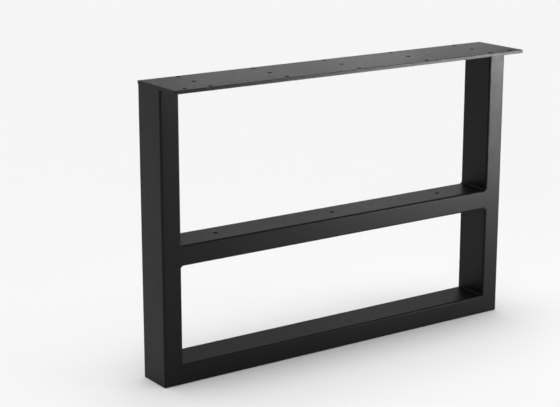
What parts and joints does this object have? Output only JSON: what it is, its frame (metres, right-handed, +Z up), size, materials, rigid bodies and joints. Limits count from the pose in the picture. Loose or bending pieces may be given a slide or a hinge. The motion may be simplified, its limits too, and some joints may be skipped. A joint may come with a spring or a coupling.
{
  "type": "table base",
  "caption": "Welded side frame of rectangular steel tube with a low shelf rail, standing on its bottom rail and carrying a table top on a drilled plate.",
  "frame": {"origin": "on the floor, below the middle of the mounting plate", "axes": "+X along the frame from post to post, +Y to the back, where the plate is flush with the tubes, +Z up; the plate overhangs the tubes at -Y"},
  "size_m": [0.62, 0.1, 0.43],
  "materials": {
    "powder_coat": "satin black powder coat over steel"
  },
  "bodies": {
    "root": {"left_post": "powder_coat", "right_post": "powder_coat", "bottom_rail": "powder_coat", "middle_rail": "powder_coat", "top_plate": "powder_coat", "left_plate_weld": "powder_coat", "right_plate_weld": "powder_coat", "left_rail_weld": "powder_coat", "right_rail_weld": "powder_coat", "left_foot_weld": "powder_coat", "right_foot_weld": "powder_coat"}
  },
  "joints": []
}
